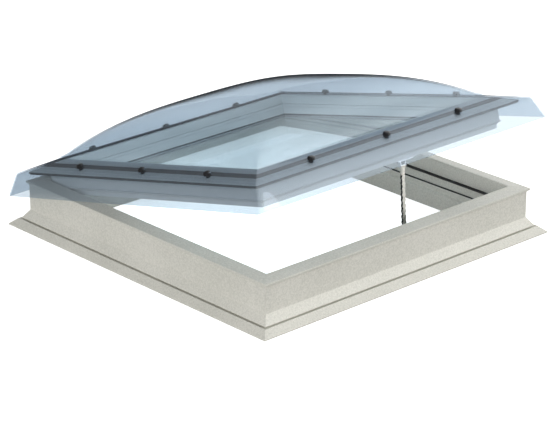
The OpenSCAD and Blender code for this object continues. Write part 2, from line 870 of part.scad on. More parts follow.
// The end piece: an eye for the bracket's pin and a tongue that holds the chain's top pin.
module chain_end() {
    tongue_t = plate_gap + inner_plate_t;
    tongue_w = plate_w / 2 - 1;
    color(steel) on_chain() difference() {
        union() {
            translate([0, 0, chain_l]) rotate([0, 90, 0])
                cylinder(r = end_t / 2 + 1, h = end_w, center = true);
            block([-end_w / 2, -end_t / 2, chain_top + 3], [end_w / 2, end_t / 2, chain_l]);
            block([-tongue_w, -tongue_t, link_z(0)], [tongue_w, tongue_t, chain_top + 4]);
            translate([0, 0, link_z(0)]) rotate([90, 0, 0])
                cylinder(r = tongue_w, h = 2 * tongue_t, center = true);
        }
        translate([0, 0, chain_l]) rotate([0, 90, 0])
            cylinder(r = end_pin_r + end_play, h = end_w + 2, center = true);
        translate([0, 0, link_z(0)]) rotate([90, 0, 0])
            cylinder(r = link_pin_r + 0.02, h = end_t, center = true);
    }
}

upstand();
upper_seal();
lower_seal();
fixed_leaf(-1);  // fixed_leaf_left
fixed_leaf(1);  // fixed_leaf_right
hinge_pin(-1);  // hinge_pin_left
hinge_pin(1);  // hinge_pin_right
fixed_leaf_screws();
drive_bracket_left();
drive_bracket_right();
drive_bracket_screws();
sash_frame();
rim_seal();
outer_glazing_seal();
outer_pane();
spacer_bar();
edge_sealant();
inner_pane();
inner_glazing_seal();
bead(-90, half[1], half[0], -pocket_u);  // bead_front
bead(90, half[1], half[0], -pocket_u);  // bead_back
bead(180, half[0], half[1], -bead_lip_u);  // bead_left
bead(0, half[0], half[1], -bead_lip_u);  // bead_right
moving_leaf(-1);  // moving_leaf_left
moving_leaf(1);  // moving_leaf_right
moving_leaf_screws();
dome();
dome_seal();
knob_sleeves();
knob_screws();
knob_caps();
chain_bracket();
chain_bracket_pin();
chain_bracket_screws();
drive_housing();
drive_end_cap_left();
drive_end_cap_right();
drive_end_cap_screws();
drive_motor();
drive_gearbox();
chain_guide();
chain_end();
chain_outer_plates();
chain_inner_plates();
chain_pins();
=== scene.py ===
import json
import math

import bmesh
import bpy
from mathutils import Matrix, Vector


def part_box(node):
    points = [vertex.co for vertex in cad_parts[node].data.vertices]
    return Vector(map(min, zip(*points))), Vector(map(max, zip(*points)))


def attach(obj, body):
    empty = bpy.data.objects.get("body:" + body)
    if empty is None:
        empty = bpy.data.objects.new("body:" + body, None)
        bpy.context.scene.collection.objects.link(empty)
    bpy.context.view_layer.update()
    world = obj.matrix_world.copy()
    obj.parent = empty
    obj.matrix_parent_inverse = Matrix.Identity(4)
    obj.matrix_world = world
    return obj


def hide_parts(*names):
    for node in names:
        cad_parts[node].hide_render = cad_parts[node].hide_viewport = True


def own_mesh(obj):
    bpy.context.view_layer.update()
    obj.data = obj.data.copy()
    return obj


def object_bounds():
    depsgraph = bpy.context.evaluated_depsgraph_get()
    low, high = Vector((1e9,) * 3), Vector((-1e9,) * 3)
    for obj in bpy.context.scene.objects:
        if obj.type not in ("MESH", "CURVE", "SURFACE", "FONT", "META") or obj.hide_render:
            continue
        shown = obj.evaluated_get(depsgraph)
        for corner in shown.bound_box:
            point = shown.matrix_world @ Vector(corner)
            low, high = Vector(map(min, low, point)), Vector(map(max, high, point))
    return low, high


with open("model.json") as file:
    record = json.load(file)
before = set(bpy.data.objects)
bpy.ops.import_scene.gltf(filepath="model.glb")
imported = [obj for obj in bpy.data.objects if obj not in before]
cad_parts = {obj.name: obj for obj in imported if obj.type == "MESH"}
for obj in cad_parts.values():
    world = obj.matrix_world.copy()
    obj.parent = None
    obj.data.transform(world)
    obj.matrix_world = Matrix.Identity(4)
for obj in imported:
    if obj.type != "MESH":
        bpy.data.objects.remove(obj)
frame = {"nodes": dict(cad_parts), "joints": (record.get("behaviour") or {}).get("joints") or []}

cad_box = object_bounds()


# ---- Studio ----
# A long lens looks down on the window from the corner between its opening side and its left side.
# The window stands on a pale glowing sheet, as on a light table, with a soft lamp on either hand.
def linear(hex_colour):
    """An sRGB hex colour as linear RGBA."""
    channels = [int(hex_colour[i:i + 2], 16) / 255 for i in (1, 3, 5)]
    return (*[c / 12.92 if c <= 0.04045 else ((c + 0.055) / 1.055) ** 2.4 for c in channels], 1.0)


def put(tree, kind, sockets=None, **settings):
    """Adds a node. Settings are its own properties, sockets are values or the outputs that feed it."""
    node = tree.nodes.new(kind)
    for name, value in settings.items():
        setattr(node, name, value)
    for key, value in (sockets or {}).items():
        if isinstance(value, bpy.types.NodeSocket):
            tree.links.new(value, node.inputs[key])
        else:
            node.inputs[key].default_value = value
    return node


def new_material(name):
    """An empty material, as itself and its node tree."""
    made = bpy.data.materials.new(name)
    made.use_nodes = True
    made.node_tree.nodes.clear()
    return made, made.node_tree


def add_object(name, data):
    made = bpy.data.objects.new(name, data)
    bpy.context.scene.collection.objects.link(made)
    return made


CAMERA_PLACE = (-4.8617, -5.2774, 2.9209)
CAMERA_DOWN_DEG = 21.8367
CAMERA_HEADING_DEG = 47.3235
CAMERA_LENS = 157.2
camera = add_object("camera", bpy.data.cameras.new("camera"))
camera.location = CAMERA_PLACE
camera.rotation_euler = (math.radians(90 - CAMERA_DOWN_DEG), 0, math.radians(CAMERA_HEADING_DEG - 90))
camera.data.lens = CAMERA_LENS
camera.data.clip_end = 200
bpy.context.scene.camera = camera
bpy.context.scene.view_settings.view_transform = "Standard"
# A line of sight crosses the dome and both panes twice over, so it may pass many clear faces.
bpy.context.scene.cycles.transparent_max_bounces = 32

# Matt paper: white, with its glow standing in for the light table under it. What it throws back
# onto the window is set on its own and is much less, so that the white walls keep their shading.
FLOOR_GLOW = 0.85
FLOOR_BOUNCE = 0.12
floor_paper, tree = new_material("matt_paper_floor")
fibre = put(tree, "ShaderNodeTexNoise", {"Scale": 3.0, "Detail": 2.0})
shade = put(tree, "ShaderNodeMix", {"Factor": fibre.outputs["Fac"], "A": linear("#F4F4F2"),
                                    "B": linear("#FAFAF9")}, data_type="RGBA")
sheet = put(tree, "ShaderNodeBsdfPrincipled", {
    "Base Color": shade.outputs["Result"], "Roughness": 0.9, "Emission Color": linear("#FFFFFF"),
    "Emission Strength": FLOOR_GLOW})
bounce = put(tree, "ShaderNodeEmission", {"Color": linear("#FFFFFF"), "Strength": FLOOR_BOUNCE})
path = put(tree, "ShaderNodeLightPath")
shader = put(tree, "ShaderNodeMixShader", {0: path.outputs["Is Diffuse Ray"], 1: sheet.outputs[0],
                                           2: bounce.outputs[0]})
put(tree, "ShaderNodeOutputMaterial", {"Surface": shader.outputs[0]})

FLOOR_SIZE = 60
FLOOR_GAP = 0.001
floor_mesh = bpy.data.meshes.new("floor")
floor_shape = bmesh.new()
bmesh.ops.create_grid(floor_shape, x_segments=4, y_segments=4, size=FLOOR_SIZE / 2)
floor_shape.to_mesh(floor_mesh)
floor_shape.free()
floor = add_object("floor", floor_mesh)
floor.location = (0, 0, cad_box[0][2] - FLOOR_GAP)
floor_mesh.materials.append(floor_paper)

# The room is white round the horizon and dim overhead, and darkest beyond the hinged side, where it
# is dark down to the horizon. A tall white card stands on the right for glossy faces to mirror. What
# it adds for them is far more than the little light that it throws.
DARK_SIDE = (-0.05, 0.9, 0.43)
CARD = (0.747, -0.39, 0.534)
ROOM_GLOW = 0.85
CARD_GLOW = 0.4
CARD_IN_GLOSS = 6.0
world = bpy.data.worlds.new("studio")
bpy.context.scene.world = world
world.use_nodes = True
tree = world.node_tree
tree.nodes.clear()
ray = put(tree, "ShaderNodeTexCoord").outputs["Generated"]
height = put(tree, "ShaderNodeSeparateXYZ", {0: ray})
up = put(tree, "ShaderNodeValToRGB", {"Fac": height.outputs["Z"]})
up.color_ramp.elements[0].position = 0.1
up.color_ramp.elements[0].color = linear("#FFFFFF")
up.color_ramp.elements[1].position = 0.75
up.color_ramp.elements[1].color = linear("#B2B3B3")
backward = put(tree, "ShaderNodeVectorMath", {0: ray, 1: DARK_SIDE}, operation="DOT_PRODUCT")
dark_share = put(tree, "ShaderNodeMapRange", {"Value": backward.outputs["Value"], "From Min": 0.75,
                                              "From Max": 0.96}, interpolation_type="SMOOTHSTEP")
dimmed = put(tree, "ShaderNodeMix", {"Factor": dark_share.outputs[0], "A": up.outputs["Color"],
                                     "B": linear("#2E3338")}, data_type="RGBA")
rightward = put(tree, "ShaderNodeVectorMath", {0: ray, 1: CARD}, operation="DOT_PRODUCT")
card = put(tree, "ShaderNodeMapRange", {"Value": rightward.outputs["Value"], "From Min": 0.2,
                                        "From Max": 0.8}, interpolation_type="SMOOTHSTEP")
path = put(tree, "ShaderNodeLightPath")
card_light = put(tree, "ShaderNodeMapRange", {"Value": path.outputs["Is Glossy Ray"],
                                              "To Min": CARD_GLOW, "To Max": CARD_IN_GLOSS})
glow = put(tree, "ShaderNodeMath", {0: card.outputs[0], 1: card_light.outputs[0], 2: ROOM_GLOW},
           operation="MULTIPLY_ADD")
room = put(tree, "ShaderNodeBackground", {"Color": dimmed.outputs["Result"],
                                          "Strength": glow.outputs[0]})
put(tree, "ShaderNodeOutputWorld", {"Surface": room.outputs[0]})


def soft_lamp(name, place, aim, size, power):
    """A square area lamp at place, turned to aim."""
    lamp = add_object(name, bpy.data.lights.new(name, "AREA"))
    lamp.data.size = size
    lamp.data.energy = power
    lamp.location = place
    lamp.rotation_euler = (Vector(aim) - Vector(place)).to_track_quat("-Z", "Y").to_euler()


soft_lamp("left_lamp", (-6.5, -2.0, 1.6), aim=(0, 0, 0.15), size=3.0, power=180)
soft_lamp("right_lamp", (3.0, -6.0, 3.0), aim=(0, 0, 0.2), size=3.0, power=100)


# ---- Upstand ----
# The base is a ring of extruded white PVC, with its four runs cut to a mitre and butt-welded, so each
# corner has a fine cleaned-off weld line. The foot slopes out under the roof covering. Extrusion
# rounds every edge a little, and the skin is matt with a fine moulded grain.
MM = 0.001
WELD_W = 0.6
WELD_DEPTH = 0.25
ARC_STEPS = 3


def filleted(section):
    """A closed section of [u, z, radius], with each corner rounded to its radius."""
    rounded = []
    for i, (u, z, radius) in enumerate(section):
        corner = Vector((u, z))
        before = Vector(section[i - 1][:2]) - corner
        after = Vector(section[(i + 1) % len(section)][:2]) - corner
        half_angle = before.angle(after) / 2
        reach = min(radius / math.tan(half_angle), 0.45 * before.length, 0.45 * after.length)
        start, end = corner + before.normalized() * reach, corner + after.normalized() * reach
        for k in range(ARC_STEPS + 1):
            t = k / ARC_STEPS
            rounded.append((1 - t) ** 2 * start + 2 * t * (1 - t) * corner + t * t * end)
    return rounded


def inward(points):
    """For each point of a closed section, the unit vector that leads into the section."""
    area = sum(points[i - 1].cross(points[i]) for i in range(len(points)))
    turn = 1 if area > 0 else -1
    ways = []
    for i, point in enumerate(points):
        along = (points[(i + 1) % len(points)] - point).normalized() + (point - points[i - 1]).normalized()
        ways.append(Vector((-along.y, along.x)).normalized() * turn)
    return ways


def mitred_ring(name, section, half, place, material):
    """A ring round a square opening of half size half, with a weld line at each mitre."""
    points = filleted(section)
    ways = inward(points)
    shape = bmesh.new()
    rows = []
    for quarter in range(4):
        turn = Matrix.Rotation(math.radians(90 * quarter), 4, "Z")
        for back, sunk in ((WELD_W / 2, 0), (0, WELD_DEPTH), (-WELD_W / 2, 0)):
            row = []
            for point, way in zip(points, ways):
                u, z = point + way * sunk
                corner = Vector((half + u - max(-back, 0), half + u - max(back, 0), z))
                row.append(shape.verts.new(place @ turn @ (corner * MM)))
            rows.append(row)
    for i, row in enumerate(rows):
        nearest = rows[i - 1]
        for j in range(len(row)):
            shape.faces.new((row[j - 1], row[j], nearest[j], nearest[j - 1]))
    bmesh.ops.recalc_face_normals(shape, faces=shape.faces)
    return finished(name, shape, material)


def finished(name, shape, material, crease=35):
    """The bmesh as an object whose small roundings are smooth and whose flat faces stay flat."""
    mesh = bpy.data.meshes.new(name)
    shape.to_mesh(mesh)
    shape.free()
    mesh.materials.append(material)
    mesh.shade_smooth()
    mesh.set_sharp_from_angle(angle=math.radians(crease))
    made = add_object(name, mesh)
    made.modifiers.new("flat_faces", "WEIGHTED_NORMAL").keep_sharp = True
    return made


def grained_plastic(name, colour, shadow, grain_mm, roughness, relief, specular=0.5):
    """Moulded plastic: a fine grain in its tone and relief, and shifts of shade 200 mm across."""
    made, tree = new_material(name)
    place = put(tree, "ShaderNodeTexCoord").outputs["Object"]
    grain = put(tree, "ShaderNodeTexNoise", {"Vector": place, "Scale": 1 / (grain_mm * MM),
                                             "Detail": 3.0, "Roughness": 0.6})
    broad = put(tree, "ShaderNodeTexNoise", {"Vector": place, "Scale": 1 / (200 * MM),
                                             "Detail": 2.0})
    blotch = put(tree, "ShaderNodeMix", {"Factor": 0.25, "A": grain.outputs["Fac"],
                                         "B": broad.outputs["Fac"]})
    spread = put(tree, "ShaderNodeMapRange", {"Value": blotch.outputs[0], "From Min": 0.36,
                                              "From Max": 0.62})
    tone = put(tree, "ShaderNodeMix", {"Factor": spread.outputs[0], "A": linear(shadow),
                                       "B": linear(colour)}, data_type="RGBA")
    bump = put(tree, "ShaderNodeBump", {"Height": grain.outputs["Fac"], "Strength": relief,
                                        "Distance": 0.2 * MM})
    gloss = put(tree, "ShaderNodeMapRange", {"Value": broad.outputs["Fac"],
                                             "To Min": roughness - 0.05, "To Max": roughness + 0.05})
    shader = put(tree, "ShaderNodeBsdfPrincipled", {
        "Base Color": tone.outputs["Result"], "Roughness": gloss.outputs[0],
        "IOR": 1.5, "Specular IOR Level": specular, "Normal": bump.outputs[0]})
    put(tree, "ShaderNodeOutputMaterial", {"Surface": shader.outputs[0]})
    return made


# Matt PVC: a warm white whose moulded grain, really about 1 mm, is drawn at 5 mm to show.
upstand_pvc = grained_plastic("matt_white_pvc", "#DFDDD4", "#C9C8BE", grain_mm=5.0, roughness=0.55,
                              relief=0.25)

# The section's u runs outward from the opening's side and its z runs up from the foot, both in mm.
# The groove in the foot is undercut, so it stays dark.
UPSTAND_T = 65.5
FOOT_U = 116.5
UPSTAND_SECTION = [
    (0, 0, 0.6), (FOOT_U, 0, 0.3), (FOOT_U, 3, 0.8), (93, 22.6, 1), (87, 19.4, 0.6),
    (77, 19.4, 0.4), (77, 24.5, 0.4), (85.8, 24.5, 0.5),
    (UPSTAND_T, 52, 2.5), (UPSTAND_T, 138, 1), (73, 144, 1), (73, 150, 0.8),
    (26, 156.5, 1.2), (23, 153.5, 1), (23, 104.5, 0.8), (16, 104.5, 0.8), (16, 101.5, 0.8),
    (11, 76, 0.8), (6, 76, 0.8), (6, 59, 1), (0, 55, 1)]

half_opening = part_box("upstand")[1].x / MM - FOOT_U
upstand = mitred_ring("upstand_ring", UPSTAND_SECTION, half_opening, Matrix(), upstand_pvc)
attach(upstand, "upstand")
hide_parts("upstand")


# ---- Seals ----
# Strips of extruded EPDM rubber pushed onto the ledges of the upstand, the rim of the sash and both
# sides of the glass. They are matt black with a faint bloom, and slightly uneven along their length.
def rubber(name, colour, bloom):
    """Dull rubber or foam, with a dusty bloom in patches about 17 mm across."""
    made, tree = new_material(name)
    place = put(tree, "ShaderNodeTexCoord").outputs["Object"]
    dust = put(tree, "ShaderNodeTexNoise", {"Vector": place, "Scale": 60.0, "Detail": 4.0})
    tone = put(tree, "ShaderNodeMix", {"Factor": dust.outputs["Fac"], "A": linear(colour),
                                       "B": linear(bloom)}, data_type="RGBA")
    bump = put(tree, "ShaderNodeBump", {"Height": dust.outputs["Fac"], "Strength": 0.3,
                                        "Distance": 0.3 * MM})
    gloss = put(tree, "ShaderNodeMapRange", {"Value": dust.outputs["Fac"], "To Min": 0.6,
                                             "To Max": 0.85})
    shader = put(tree, "ShaderNodeBsdfPrincipled", {
        "Base Color": tone.outputs["Result"], "Roughness": gloss.outputs[0], "IOR": 1.52,
        "Normal": bump.outputs[0]})
    put(tree, "ShaderNodeOutputMaterial", {"Surface": shader.outputs[0]})
    return made


def dress(names, material):
    """Gives carried-over nodes a material."""
    for name in names:
        slots = frame["nodes"][name].data.materials
        slots.clear()
        slots.append(material)


epdm = rubber("matt_black_epdm", "#141516", "#232425")
dress(("upper_seal", "lower_seal", "rim_seal", "outer_glazing_seal", "inner_glazing_seal"), epdm)


# ---- Sash frame ----
# The hinged frame is extruded from a smoother, harder white PVC than the base. Its rim reaches out
# under the dome, its top slopes, and two fine joints run round its inner wall where a cover strip
# clips on. It is made shut and then turned to its open place, and is mitred and welded like the base.
hinge = next(j for j in frame["joints"] if j["name"] == "sash_hinge")
open_angle = math.radians(-hinge["range_deg"][0])
hinge_line = Matrix.Translation(Vector(hinge["pos_m"]))
opened = hinge_line @ Matrix.Rotation(-open_angle, 4, "X") @ hinge_line.inverted()

SLOPE = 19.5 / 73
SLOPE_START = (-12.5, 209.5)


def sash_top(u):
    """Height of the sloping top of the shut sash."""
    return SLOPE_START[1] - SLOPE * (u - SLOPE_START[0])


SASH_SECTION = [
    (-12, 108.5, 0.5), (5.5, 108.5, 1), (5.5, 121.5, 1), (17.2, 130.5, 0.8), (13, 133, 0.8),
    (13, 183.5, 1.5), (50, 183.5, 0.5), (50, 187.5, 0.5), (60.5, 187.5, 0.2),
    (60.5, 188, 0.2), (58.5, 190, 1), (49, sash_top(49), 0.8),
    (48, sash_top(45) - 2, 0.4), (45, sash_top(45) - 2, 0.4), (45, sash_top(45), 0.6),
    (*SLOPE_START, 1), (-32.5, 211.5, 1.5), (-32.5, 182, 0.3), (-29, 182, 0.3),
    (-29, 180, 0.3), (-32.5, 180, 0.3), (-32.5, 171.3, 0.2), (-31, 171.3, 0.2),
    (-31, 170, 0.2), (-32.5, 170, 0.2), (-32.5, 146.5, 0.6), (-12, 146.5, 0.3)]

# Hard PVC: the same white, smoother and with a soft sheen. Its grain, really well under 1 mm, is
# drawn at 2.5 mm.
sash_pvc = grained_plastic("sheen_white_pvc", "#DDDFDE", "#CDD0D0", grain_mm=2.5, roughness=0.42,
                           relief=0.06)
sash = mitred_ring("sash_ring", SASH_SECTION, half_opening, opened, sash_pvc)
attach(sash, "sash")
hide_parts("sash_frame")


# ---- Glazing ----
# A sealed unit of two float-glass panes on a thin rolled spacer, with black sealant behind it. White
# snap-in beads hold it from below.
FACE_ON_MIRROR = 0.04


def clear_sheet(name, colour, edge_colour, edge_from, edge_to, mirror, bend=0.0, haze=0.0):
    """Clear sheet made face by face. What is behind shows through, tinted, and darker where the sheet
    turns edge-on. More is mirrored the lower a face is looked at. A bend is a refractive index, and
    haze is the share of light that a fine bloom on each face scatters, in clouds 250 mm across."""
    made, tree = new_material(name)
    turned = put(tree, "ShaderNodeLayerWeight", {"Blend": 0.5}).outputs["Facing"]
    edge = put(tree, "ShaderNodeMapRange", {"Value": turned, "From Min": edge_from,
                                            "From Max": edge_to}, interpolation_type="SMOOTHSTEP")
    tint = put(tree, "ShaderNodeMix", {"Factor": edge.outputs[0], "A": linear(colour),
                                       "B": linear(edge_colour)}, data_type="RGBA")
    through = put(tree, "ShaderNodeBsdfTransparent", {"Color": tint.outputs["Result"]})
    seen = through
    if bend:
        path = put(tree, "ShaderNodeLightPath")
        bent = put(tree, "ShaderNodeBsdfRefraction", {"Color": tint.outputs["Result"],
                                                      "Roughness": 0.0, "IOR": bend})
        seen = put(tree, "ShaderNodeMixShader", {0: path.outputs["Is Shadow Ray"],
                                                 1: bent.outputs[0], 2: through.outputs[0]})
    if haze:
        place = put(tree, "ShaderNodeTexCoord").outputs["Object"]
        cloud = put(tree, "ShaderNodeTexNoise", {"Vector": place, "Scale": 1 / (250 * MM),
                                                 "Detail": 3.0})
        bloom = put(tree, "ShaderNodeMapRange", {"Value": cloud.outputs["Fac"],
                                                 "To Min": 0.8 * haze, "To Max": 1.2 * haze})
        dull = put(tree, "ShaderNodeBsdfDiffuse", {"Color": linear("#E6EFF8")})
        seen = put(tree, "ShaderNodeMixShader", {0: bloom.outputs[0], 1: through.outputs[0],
                                                 2: dull.outputs[0]})
    gloss = put(tree, "ShaderNodeBsdfAnisotropic", {"Color": tint.outputs["Result"],
                                                    "Roughness": 0.01})
    low = put(tree, "ShaderNodeMath", {0: turned, 1: 5.0}, operation="POWER")
    mirrored = put(tree, "ShaderNodeMath", {0: low.outputs[0], 1: mirror, 2: FACE_ON_MIRROR},
                   operation="MULTIPLY_ADD")
    sheet = put(tree, "ShaderNodeMixShader", {0: mirrored.outputs[0], 1: seen.outputs[0],
                                              2: gloss.outputs[0]})
    put(tree, "ShaderNodeOutputMaterial", {"Surface": sheet.outputs[0]})
    return made


# Float glass: nearly colourless, with a trace of green.
float_glass = clear_sheet("float_glass", "#FBFDFD", "#D5E0E4", edge_from=0.9, edge_to=1.0, mirror=0.0)
dress(("outer_pane", "inner_pane"), float_glass)

# The outer pane's upper face is polished and bends what is seen through it, so that the well below
# looks shallower than it is. Its index of 1.1 is weaker than that of real glass, about 1.5, and is
# chosen for how deep the well should look. Its edges are ground off to a small arris.
polished_glass = clear_sheet("polished_glass_face", "#FBFDFD", "#D5E0E4", edge_from=0.9, edge_to=1.0,
                             mirror=0.7, bend=1.1)
PANE_TOP = 143.5
FACE_LIFT = 0.05
ARRIS = 0.8
pane_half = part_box("outer_pane")[1].x / MM
pane_face = bmesh.new()
rims = []
for back, sunk in ((0, ARRIS - FACE_LIFT), (ARRIS, -FACE_LIFT)):
    reach = pane_half - back
    rims.append([pane_face.verts.new(opened @ (Vector((x * reach, y * reach, PANE_TOP - sunk)) * MM))
                 for x, y in ((1, 1), (-1, 1), (-1, -1), (1, -1))])
for i in range(4):
    pane_face.faces.new((rims[0][i - 1], rims[0][i], rims[1][i], rims[1][i - 1]))
pane_face.faces.new(rims[1])
if pane_face.faces[:][-1].normal.z < 0:
    bmesh.ops.reverse_faces(pane_face, faces=pane_face.faces)
outer_face = finished("outer_pane_face", pane_face, polished_glass, 20)
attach(outer_face, "sash")
dress(("edge_sealant",), epdm)
dress(("bead_front", "bead_back", "bead_left", "bead_right"), sash_pvc)


def metal(name, colour, stain, roughness, grain_mm):
    """Bare or plated metal, with a fine grain in its tone, its gloss and its relief."""
    made, tree = new_material(name)
    place = put(tree, "ShaderNodeTexCoord").outputs["Object"]
    grain = put(tree, "ShaderNodeTexNoise", {"Vector": place, "Scale": 1 / (grain_mm * MM),
                                             "Detail": 4.0, "Roughness": 0.65})
    spread = put(tree, "ShaderNodeMapRange", {"Value": grain.outputs["Fac"], "From Min": 0.35,
                                              "From Max": 0.65})
    tone = put(tree, "ShaderNodeMix", {"Factor": spread.outputs[0], "A": linear(stain),
                                       "B": linear(colour)}, data_type="RGBA")
    bump = put(tree, "ShaderNodeBump", {"Height": grain.outputs["Fac"], "Strength": 0.2,
                                        "Distance": 0.1 * MM})
    gloss = put(tree, "ShaderNodeMapRange", {"Value": grain.outputs["Fac"], "To Min": roughness - 0.08,
                                             "To Max": roughness + 0.12})
    shader = put(tree, "ShaderNodeBsdfPrincipled", {
        "Base Color": tone.outputs["Result"], "Metallic": 1.0, "Roughness": gloss.outputs[0],
        "Normal": bump.outputs[0]})
    put(tree, "ShaderNodeOutputMaterial", {"Surface": shader.outputs[0]})
    return made


# Thin rolled stainless strip: dull grey, and mottled at 1.5 mm, coarser than it is, to show.
spacer_steel = metal("rolled_stainless_spacer", "#A4A8AC", "#7E8388", roughness=0.35, grain_mm=1.5)
dress(("spacer_bar",), spacer_steel)


# ---- Dome ----
# One sheet of 4 mm clear acrylic, heated and blown up inside a square clamp, so its crown is a soft
# cushion whose four faces meet in hips that fade out. The clamped rim slopes, folds down in a soft
# bend and flares out as a skirt with rounded corners. The sheet has a faint blue tint.
acrylic = clear_sheet("blown_clear_acrylic", "#DEE4E9", "#1B2731", edge_from=0.85, edge_to=0.95,
                      mirror=0.12, haze=0.05)

DOME_T = 4
DOME_RISE = 119.4
FLANGE_LIFT = 8.5
FOOT_LINE = -17.5
FOLD = 93.5
FOLD_BEND = 6
SKIRT = 119.5
SKIRT_DROP = 67.5
CORNER_R = 14
SIDE_STEPS = 40
CROWN_STEPS = 22
CROWN_START = 0.05
CROWN_EDGE_LIFT = 5.5


def flange(u):
    """Height of the rim's upper face when the sash is shut."""
    return sash_top(u) + FLANGE_LIFT


def cushion_share(t):
    """Share of the way out from the middle at which a cushion's section has fallen to share t."""
    return (1 - t * t) ** (1 / 3)


def side_share(j):
    """Share of the way along half a side for step j, with the steps closing up towards the corner."""
    t = 1 - abs(2 * j / SIDE_STEPS - 1)
    return math.copysign(cushion_share(1 - (1 - t) ** 3), j - SIDE_STEPS / 2)


def outline(a, radius, z):
    """Points of a square of half size a with rounded corners, anticlockwise, at height z."""
    points = []
    for quarter in range(4):
        turn = Matrix.Rotation(math.radians(90 * quarter), 3, "Z")
        for j in range(SIDE_STEPS):
            y = side_share(j) * a
            x = a
            if abs(y) > a - radius:
                angle = math.radians(45) * (abs(y) - a + radius) / radius
                x = a - radius + radius * math.cos(angle)
                y = math.copysign(a - radius + radius * math.sin(angle), y)
            points.append(turn @ Vector((x, y, z)))
    return points


def dome_rows():
    """Rings of the outer face, from the skirt's edge in to the crown."""
    rows = []
    drop = flange(FOLD)
    for t in (0, 0.03, 0.15, 0.4, 0.7, 0.9):
        out = SKIRT + (FOLD - SKIRT) * t
        rows.append(outline(half_opening + out, CORNER_R, drop - SKIRT_DROP * (1 - t)))
    lead = (FOLD + (SKIRT - FOLD) * FOLD_BEND / SKIRT_DROP, drop - FOLD_BEND)
    trail = (FOLD - FOLD_BEND, flange(FOLD - FOLD_BEND))
    for k in range(1, 6):
        t = k / 6
        u = (1 - t) ** 2 * lead[0] + 2 * t * (1 - t) * FOLD + t * t * trail[0]
        z = (1 - t) ** 2 * lead[1] + 2 * t * (1 - t) * drop + t * t * trail[1]
        rows.append(outline(half_opening + u, CORNER_R - 4 * t, z))
    for u, radius in ((84, 8), (70, 6), (55, 4), (38.5, 3), (20, 2), (0, 1.5), (-9, 1)):
        rows.append(outline(half_opening + u, radius, flange(u)))
    foot = half_opening + FOOT_LINE
    for out, lift in ((4.5, 0.25), (2.3, 0.9), (0.9, 2.2), (0.2, 4)):
        rows.append(outline(foot + out, 1, flange(FOOT_LINE) + lift))
    for k in range(CROWN_STEPS):
        t = 1 - (1 - CROWN_START) * (1 - k / CROWN_STEPS) ** 3
        share = cushion_share(t)
        row = outline(foot * share, share, 0)
        for point in row:
            fall = [max(0.0, 1 - min(1.0, abs(c) / foot) ** 3) for c in point.xy]
            rise = DOME_RISE * math.sqrt(fall[0] * fall[1])
            point.z = flange(FOOT_LINE) + max(CROWN_EDGE_LIFT, rise)
        rows.append(row)
    return rows


shape = bmesh.new()
rows = [[shape.verts.new(opened @ (point * MM)) for point in row] for row in dome_rows()]
for lower, upper in zip(rows, rows[1:]):
    for j in range(len(lower)):
        shape.faces.new((lower[j - 1], lower[j], upper[j], upper[j - 1]))
crown = shape.verts.new(opened @ (Vector((0, 0, flange(FOOT_LINE) + DOME_RISE)) * MM))
for j in range(len(rows[-1])):
    shape.faces.new((rows[-1][j - 1], rows[-1][j], crown))
bmesh.ops.recalc_face_normals(shape, faces=shape.faces)
dome = finished("dome_sheet", shape, acrylic, 80)
dome.modifiers.clear()
thicken = dome.modifiers.new("sheet", "SOLIDIFY")
thicken.thickness = DOME_T * MM
thicken.offset = -1
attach(dome, "sash")
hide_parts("dome")

# Foam strip: a soft grey-black band under the rim that the dome is drawn down onto.
foam = rubber("grey_black_foam", "#1C191C", "#2B272A")
dress(("dome_seal",), foam)


# ---- Knobs ----
# Twelve screws hold the dome, each through a nylon sleeve that lets the acrylic creep, and each with
# a snap-on nylon cap over its head. A cap is turned on a lathe-like mould: a wide foot, a ring of
# fine grips and a round crown with a shallow dimple.
# Nylon: near black and only slightly shiny. Its grain, really well under 1 mm, is drawn at 2 mm.
black_nylon = grained_plastic("black_moulded_nylon", "#141416", "#0B0B0D", grain_mm=2.0, roughness=0.42,
                              relief=0.15, specular=0.2)
KNOB_U = 32
KNOB_PITCH = 310
KNOB_GRIPS = 14
GRIP_DEPTH = 0.7
KNOB_PROFILE = [(0.5, 0), (11.5, 0), (12, 0.5), (12, 2.2), (11.3, 3), (11.3, 6.2), (10.7, 7.8),
                (9.2, 9.2), (7, 10.1), (4.6, 10.5), (2.8, 10.2), (1.2, 9.9)]
SLEEVE_RISE = 9


def knob_places():
    """Where each fixing stands on the sloping top, with +Z square to the slope."""
    tilt = Matrix.Rotation(math.atan(SLOPE), 4, "Y")
    for quarter in range(4):
        turn = Matrix.Rotation(math.radians(90 * quarter), 4, "Z")
        for y in (-KNOB_PITCH, 0, KNOB_PITCH):
            place = Vector((half_opening + KNOB_U, y, sash_top(KNOB_U))) * MM
            yield opened @ turn @ Matrix.Translation(place) @ tilt


def lathe(shape, profile, place, steps, grips=0, grip_depth=0.0, grip_rows=()):
    """Turns a profile of [radius, height] about +Z, with grips cut round the rows that have them."""
    rows = []
    for k, (radius, height) in enumerate(profile):
        row = []
        for j in range(steps):
            angle = 2 * math.pi * j / steps
            cut = grip_depth * (0.5 - 0.5 * math.cos(angle * grips)) if k in grip_rows else 0
            spot = Vector(((radius - cut) * math.cos(angle), (radius - cut) * math.sin(angle), height))
            row.append(shape.verts.new(place @ (spot * MM)))
        rows.append(row)
    for lower, upper in zip(rows, rows[1:]):
        for j in range(steps):
            shape.faces.new((lower[j - 1], lower[j], upper[j], upper[j - 1]))
    shape.faces.new(rows[0])
    shape.faces.new(rows[-1])


